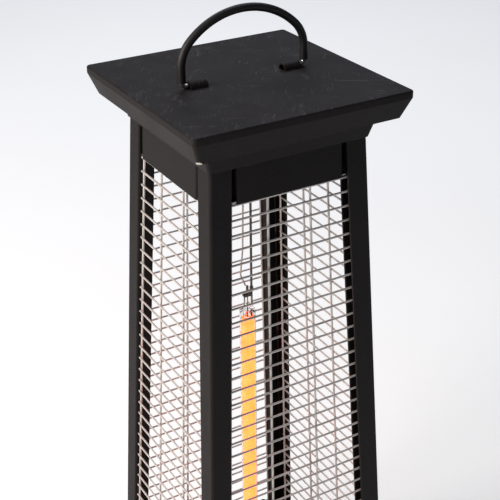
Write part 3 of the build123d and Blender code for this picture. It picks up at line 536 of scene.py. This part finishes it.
def braid_material(name, tint):
    """Woven sleeve: two sets of diagonal threads and a little soot."""
    material, shade, shader = new_material(name, Specular_IOR_Level=0.25)
    threads = []
    for turn in (0.9, -0.9):
        where = shade.place(turn=(turn, turn * 0.5, 0.0))
        inputs = {"Vector": where, "Scale": 190.0, "Distortion": 0.6}
        threads.append(shade.add("ShaderNodeTexWave", inputs, bands_direction="Z").outputs["Fac"])
    woven = shade.math("MAXIMUM", *threads)
    grain = shade.effect(grain_effect(), grain_size=0.0008, patch_size=0.02)
    base = shade.blend(woven, rgba([0.45 * c for c in tint]), rgba(tint))
    base = shade.blend(shade.math("MULTIPLY", grain["Tone"], 0.35), base, (0.05, 0.045, 0.04, 1.0))
    roughness = shade.ramp(grain["Tone"], 0.0, 1.0, 0.72, 0.9)
    connect(shade, shader, Base_Color=base, Roughness=roughness, Normal=shade.bump(woven, 0.00015, 0.8))
    return material


def glow_material(finish, tail):
    """Hot carbon tape: an uneven orange glow that is redder towards both ends."""
    material, shade, shader = new_material("hot_carbon", Emission_Strength=finish.glow_power, Metallic=0.0)
    low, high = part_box("carbon_element")
    where = shade.place()
    height = shade.add("ShaderNodeSeparateXYZ", {0: where}).outputs["Z"]
    from_top = shade.math("SUBTRACT", high.z + tail, height)
    from_foot = shade.math("SUBTRACT", height, low.z - tail)
    warm = shade.ramp(shade.math("MINIMUM", from_top, from_foot), 0.0, 0.014)
    mottle = shade.noise(where, 420.0, 4.0, 0.7)
    patches = shade.noise(shade.place(scale=(1.0, 1.0, 0.5)), 150.0, 2.0)
    uneven = shade.math("ADD", shade.math("MULTIPLY", mottle, 0.6), shade.math("MULTIPLY", patches, 0.4))
    hot = shade.ramp(uneven, 0.4, 0.6)
    glow = shade.blend(hot, rgba(finish.glow), rgba(finish.glow_hot))
    ends = shade.blend(warm, rgba(finish.glow_edge), glow)
    rough = shade.ramp(mottle, 0.3, 0.7, 0.7, 0.95)
    bump = shade.bump(mottle, 0.0001, 0.6)
    dark = shade.blend(mottle, (0.02, 0.012, 0.01, 1.0), (0.05, 0.03, 0.02, 1.0))
    connect(shade, shader, Emission_Color=ends, Roughness=rough, Normal=bump, Base_Color=dark)
    return material


def quartz_material(finish):
    """Clear fused quartz with faint draw lines, which lets light through to what lies round it."""
    material, shade, shader = new_material("quartz", Transmission_Weight=1.0, IOR=1.12, Metallic=0.0)
    lines = shade.noise(shade.place(scale=(1.0, 1.0, 0.03)), 700.0, 2.0)
    smoke = shade.noise(shade.place(), 90.0, 3.0)
    base = shade.blend(shade.ramp(smoke, 0.45, 0.8, 0.0, 0.4), rgba(finish.quartz), (0.7, 0.66, 0.63, 1.0))
    rough = shade.ramp(lines, 0.4, 0.7, 0.02, 0.07)
    connect(shade, shader, Base_Color=base, Roughness=rough, Normal=shade.bump(lines, 0.00002, 0.3))
    path = shade.add("ShaderNodeLightPath").outputs["Is Shadow Ray"]
    clear = shade.add("ShaderNodeBsdfTransparent", {"Color": (0.95, 0.94, 0.93, 1.0)}).outputs[0]
    mix = shade.add("ShaderNodeMixShader", {0: path, 1: shader.outputs[0], 2: clear}).outputs[0]
    shade.tree.links.new(mix, shade.tree.nodes["Material Output"].inputs["Surface"])
    return material


def mark_material():
    """Pad-printed marks, slightly chalky."""
    material, shade, shader = new_material("switch_marks", Specular_IOR_Level=0.3)
    grain = shade.effect(grain_effect(), grain_size=0.0004, patch_size=0.003)
    base = shade.blend(grain["Tone"], (0.6, 0.59, 0.57, 1.0), (0.75, 0.74, 0.72, 1.0))
    rough = shade.ramp(grain["Tone"], 0.0, 1.0, 0.5, 0.7)
    connect(shade, shader, Base_Color=base, Roughness=rough)
    return material


def stage_material(name, tint, power):
    """Plain pale studio floor, evenly lit, with the faintest unevenness."""
    material, shade, shader = new_material(name, Specular_IOR_Level=0.15, Emission_Strength=power)
    tone = shade.noise(shade.place(), 1.5, 2.0)
    base = shade.blend(shade.ramp(tone, 0.3, 0.7), rgba([0.985 * c for c in tint]), rgba(tint))
    rough = shade.ramp(tone, 0.3, 0.7, 0.75, 0.85)
    connect(shade, shader, Base_Color=base, Roughness=rough, Emission_Color=base)
    return material


# ---- operators -----------------------------------------------------------------------------------


class HEATER_OT_coat(bpy.types.Operator):
    """Powder coat for the cap, the collar, the posts, the panels and the skirt."""

    bl_idname = "heater.coat"
    bl_label = "Coat the sheet metal"

    def execute(self, context):
        posts = [f"post_{corner}" for corner in CORNERS]
        panels = on_sides("top_panel") + on_sides("base_panel")
        coat = coat_material(context.scene.heater_finish)
        paint(coat, "cap_top", "cap_collar", "base_skirt", *posts, *panels)
        return {"FINISHED"}


class HEATER_OT_metals(bpy.types.Operator):
    """Plated wires, bare rod, zinc-plated inner sheet and the fixings."""

    bl_idname = "heater.metals"
    bl_label = "Finish the bare metals"

    def execute(self, context):
        finish = context.scene.heater_finish
        dulled = {"cover": 0.35, "metallic": finish.wire_metal}
        plated = metal_material("plated_wire", finish.wire, finish.wire_rough, **dulled)
        paint(plated, *on_sides("guard"))
        paint(metal_material("bare_steel", finish.bare_steel, 0.3, streak=(0.1, 1.0, 1.0)), "handle_rod")
        inner = ("heat_shield", "lower_deck", "frame_plate", "base_plate")
        paint(metal_material("zinc_sheet", finish.zinc, 0.42, 0.003, cover=0.3), *inner)
        screws = ("cap_screws", "shield_screws", "deck_screws", "foot_screws")
        small = ("stay_nuts", "cap_standoffs", *screws, "tip_spring")
        paint(metal_material("zinc_fixings", finish.zinc, 0.36, cover=0.25), *small)
        heated = ("element_pins", "stay_rod", "upper_clamp", "lower_clamp")
        scaled = {"stain": (0.05, 0.035, 0.03), "cover": 0.5}
        paint(metal_material("heated_steel", (0.12, 0.105, 0.095), 0.45, **scaled), *heated)
        blacked = metal_material("blacked_screws", (0.06, 0.06, 0.062), 0.4, stain=(0.03, 0.03, 0.03))
        paint(blacked, "frame_screws", "base_screws")
        return {"FINISHED"}


class HEATER_OT_mouldings(bpy.types.Operator):
    """Rubber, plastic, ceramic, glass and the woven sleeves on the leads."""

    bl_idname = "heater.mouldings"
    bl_label = "Finish the mouldings and leads"

    def execute(self, context):
        finish = context.scene.heater_finish
        rubber = soft_material("sleeve_rubber", finish.rubber, 0.5, 0.4, 0.0006, 0.00002)
        paint(rubber, "handle_sleeve", "feet")
        switches = ("rocker_housing", "rocker", "thermal_cutout", "tip_switch", "tip_plunger")
        black = (*switches, "cable_gland", "gland_nut", "riser_clips")
        paint(soft_material("black_plastic", (0.018, 0.018, 0.019), 0.42, 0.45, 0.0005), *black)
        pale = soft_material("ceramic", finish.ceramic, 0.75, 0.2, 0.0009, 0.00005, 0.5)
        paint(pale, "upper_bushing", "lower_bushing", "terminal_block")
        paint(braid_material("woven_sleeve", finish.braid), "upper_lead", "lower_lead")
        paint(soft_material("silicone", (0.013, 0.012, 0.012), 0.5, 0.35, 0.0008, 0.00002), "riser_wire")
        paint(quartz_material(finish), "quartz_tube")
        return {"FINISHED"}


class HEATER_OT_carbon(bpy.types.Operator):
    """The carbon tape, wound as a close helix with a loop at each end."""

    bl_idname = "heater.carbon"
    bl_label = "Wind the carbon element"

    def execute(self, context):
        detail = context.scene.heater_detail
        low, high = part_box("carbon_element")
        radius = high.x - detail.tape_thick / 2
        neck = detail.neck_share * radius
        neck_low, neck_high = low.z + detail.neck_length, high.z - detail.neck_length
        windings = [
            self.wind(detail, radius, neck_low, neck_high),
            self.wind(detail, neck, neck_high, high.z),
            self.wind(detail, neck, low.z, neck_low),
        ]
        tape = join("carbon_winding", windings)
        loops = [tape]
        for level, keep_up in ((high.z, True), (low.z, False)):
            clear_selection()
            middle = (0.0, 0.0, level - (detail.tail_sink if keep_up else -detail.tail_sink))
            bpy.ops.mesh.primitive_torus_add(
                location=middle,
                rotation=(pi / 2, 0.0, detail.tail_turn),
                major_segments=40,
                minor_segments=10,
                major_radius=detail.tail_radius,
                minor_radius=detail.tape_thick * detail.tail_thick,
            )
            loop = settle(made("carbon_tail"))
            edit_all(loop)
            bpy.ops.mesh.bisect(
                plane_co=middle,
                plane_no=(0.0, 0.0, -1.0 if keep_up else 1.0),
                use_fill=True,
                clear_outer=True,
            )
            bpy.ops.object.mode_set(mode="OBJECT")
            loops.append(loop)
        winding = face_out(join("carbon_winding", loops))
        select(winding)
        bpy.ops.object.shade_smooth_by_angle(angle=SMOOTH_BELOW)
        glow = glow_material(context.scene.heater_finish, detail.tail_radius)
        finish_piece(winding, glow, "body")
        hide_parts("carbon_element")
        return {"FINISHED"}

    @staticmethod
    def wind(detail, radius, low, high):
        """A helix of tape between two levels."""
        clear_selection()
        start = (radius, 0.0, low + detail.tape_width / 2)
        bpy.ops.mesh.primitive_plane_add(size=1.0, location=start, rotation=(pi / 2, 0.0, 0.0))
        tape = made("carbon_tape")
        tape.scale = (detail.tape_thick, detail.tape_width, 1.0)
        settle(tape)
        edit_all(tape)
        bpy.ops.mesh.delete(type="ONLY_FACE")
        bpy.ops.object.mode_set(mode="OBJECT")
        turns = int((high - low - detail.tape_width) / detail.turn_pitch)
        rise = (high - low - detail.tape_width) / turns
        modified(tape, "SCREW", axis="Z", steps=20, render_steps=20, iterations=turns, screw_offset=rise)
        edit_all(tape)
        bpy.ops.mesh.fill_holes(sides=4)
        bpy.ops.object.mode_set(mode="OBJECT")
        return tape


class HEATER_OT_welds(bpy.types.Operator):
    """A small flattened weld nugget wherever a level wire crosses an upright."""

    bl_idname = "heater.welds"
    bl_label = "Weld the guards"

    def execute(self, context):
        detail = context.scene.heater_detail
        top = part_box("guard_front")[1].z - detail.first_row
        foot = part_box("post_front_right")[0]
        half = -foot.y - detail.splay * (top - foot.z)
        opening = half - detail.leg
        lean = {
            detail.upright_start - opening: -1.0,
            -detail.upright_share * half: -detail.upright_share,
            detail.upright_share * half: detail.upright_share,
            opening + detail.upright_tuck: 1.0,
        }
        columns = []
        for across, outward in lean.items():
            clear_selection()
            place = (across, detail.weld_depth - half, top)
            bpy.ops.mesh.primitive_ico_sphere_add(subdivisions=1, radius=detail.nugget, location=place)
            nugget = made("weld")
            nugget.scale = (1.0, 0.8, 0.72)
            settle(nugget)
            splay = detail.splay * detail.row_pitch
            step = (outward * splay, -splay, -detail.row_pitch)
            offsets = {"use_relative_offset": False, "use_constant_offset": True}
            modified(nugget, "ARRAY", count=detail.row_count, constant_offset_displace=step, **offsets)
            columns.append(nugget)
        front = join("welds_front", columns)
        select(front)
        bpy.ops.object.shade_smooth()
        pieces = [front] + [turned_copy(front, f"welds_{side}", n) for n, side in enumerate(SIDES) if n]
        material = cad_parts["guard_front"].data.materials[0]
        for piece in pieces:
            finish_piece(piece, material, "body")
        return {"FINISHED"}


class HEATER_OT_marks(bpy.types.Operator):
    """A bar and a ring on the rocker, for on and off."""

    bl_idname = "heater.marks"
    bl_label = "Mark the switch"

    def execute(self, context):
        detail = context.scene.heater_detail
        low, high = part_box("rocker")
        middle = (low + high) / 2
        clear_selection()
        bar_place = (middle.x, high.y, middle.z + detail.mark_offset)
        bpy.ops.mesh.primitive_cube_add(size=1.0, location=bar_place)
        bar = made("switch_bar")
        bar.scale = (detail.mark_line, detail.mark_rise, detail.mark_size)
        settle(bar)
        modified(bar, "BEVEL", width=detail.mark_line / 3, segments=2)
        clear_selection()
        ring_place = (middle.x, high.y, middle.z - detail.mark_offset)
        bpy.ops.mesh.primitive_torus_add(
            location=ring_place,
            rotation=(pi / 2, 0.0, 0.0),
            major_segments=32,
            minor_segments=8,
            major_radius=detail.mark_size / 2,
            minor_radius=detail.mark_line / 2,
        )
        ring = settle(made("switch_ring"))
        material = mark_material()
        for mark in (bar, ring):
            finish_piece(mark, material, "rocker")
        return {"FINISHED"}


class HEATER_OT_stage(bpy.types.Operator):
    """Pale floor, soft lights and the camera."""

    bl_idname = "heater.stage"
    bl_label = "Set the stage"

    def execute(self, context):
        stage = context.scene.heater_stage
        clear_selection()
        bpy.ops.mesh.primitive_circle_add(vertices=96, radius=stage.floor_radius, fill_type="NGON")
        floor = made("studio_floor")
        floor.data.materials.append(stage_material("pale_floor", stage.floor, stage.floor_power))
        self.light("key", stage.key_place, stage.key_aim, stage.key_size, stage.key_power, stage.key)
        self.light("high", stage.high_place, stage.high_aim, stage.high_size, stage.high_power, stage.high)
        world = bpy.data.worlds.new("studio")
        context.scene.world = world
        world.use_nodes = True
        world.node_tree.nodes["Background"].inputs["Color"].default_value = rgba(stage.sky)
        world.node_tree.nodes["Background"].inputs["Strength"].default_value = stage.sky_power
        context.scene.view_settings.view_transform = "Standard"
        self.camera(context, stage)
        return {"FINISHED"}

    @staticmethod
    def light(name, place, aim, size, power, tint):
        """A large square area light that looks at a point."""
        bpy.ops.object.light_add(type="AREA", location=place)
        lamp = bpy.context.object
        lamp.name = name
        lamp.data.size = size
        lamp.data.energy = power
        lamp.data.color = tint
        lamp.rotation_euler = (Vector(aim) - Vector(place)).to_track_quat("-Z", "Y").to_euler()

    @staticmethod
    def camera(context, stage):
        """A camera at the given angles, distance and lens."""
        turn, rise = stage.azimuth, stage.elevation
        back = Vector((sin(turn) * cos(rise), -cos(turn) * cos(rise), sin(rise)))
        bpy.ops.object.camera_add(location=Vector(stage.aim) + back * stage.distance)
        camera = bpy.context.object
        camera.name = "camera"
        level = (-back).to_track_quat("-Z", "Y").to_matrix()
        camera.rotation_euler = (level @ Matrix.Rotation(stage.roll, 3, "Z")).to_euler()
        camera.data.sensor_width = 36.0
        camera.data.lens = stage.lens
        context.scene.camera = camera


class HEATER_PT_panel(bpy.types.Panel):
    """Lists the heater's steps in the sidebar."""

    bl_idname = "HEATER_PT_panel"
    bl_label = "Heater"
    bl_space_type = "VIEW_3D"
    bl_region_type = "UI"
    bl_category = "Heater"

    def draw(self, context):
        for step in STEPS:
            self.layout.operator(step.bl_idname)
        for group in (context.scene.heater_finish, context.scene.heater_detail, context.scene.heater_stage):
            box = self.layout.box()
            for name in group.__annotations__:
                box.prop(group, name)


STEPS = (
    HEATER_OT_coat,
    HEATER_OT_metals,
    HEATER_OT_mouldings,
    HEATER_OT_carbon,
    HEATER_OT_welds,
    HEATER_OT_marks,
    HEATER_OT_stage,
)
CLASSES = (HeaterFinish, HeaterDetail, HeaterStage, *STEPS, HEATER_PT_panel)


def register():
    """Registers the classes and hangs the settings on the scene."""
    for item in CLASSES:
        bpy.utils.register_class(item)
    bpy.types.Scene.heater_finish = bpy.props.PointerProperty(type=HeaterFinish)
    bpy.types.Scene.heater_detail = bpy.props.PointerProperty(type=HeaterDetail)
    bpy.types.Scene.heater_stage = bpy.props.PointerProperty(type=HeaterStage)


def unregister():
    """Takes the settings and the classes away again."""
    del bpy.types.Scene.heater_stage
    del bpy.types.Scene.heater_detail
    del bpy.types.Scene.heater_finish
    for item in reversed(CLASSES):
        bpy.utils.unregister_class(item)


def main():
    """Runs every step in order."""
    register()
    bpy.ops.heater.coat()
    bpy.ops.heater.metals()
    bpy.ops.heater.mouldings()
    bpy.ops.heater.carbon()
    bpy.ops.heater.welds()
    bpy.ops.heater.marks()
    bpy.ops.heater.stage()


if __name__ == "__main__":
    main()
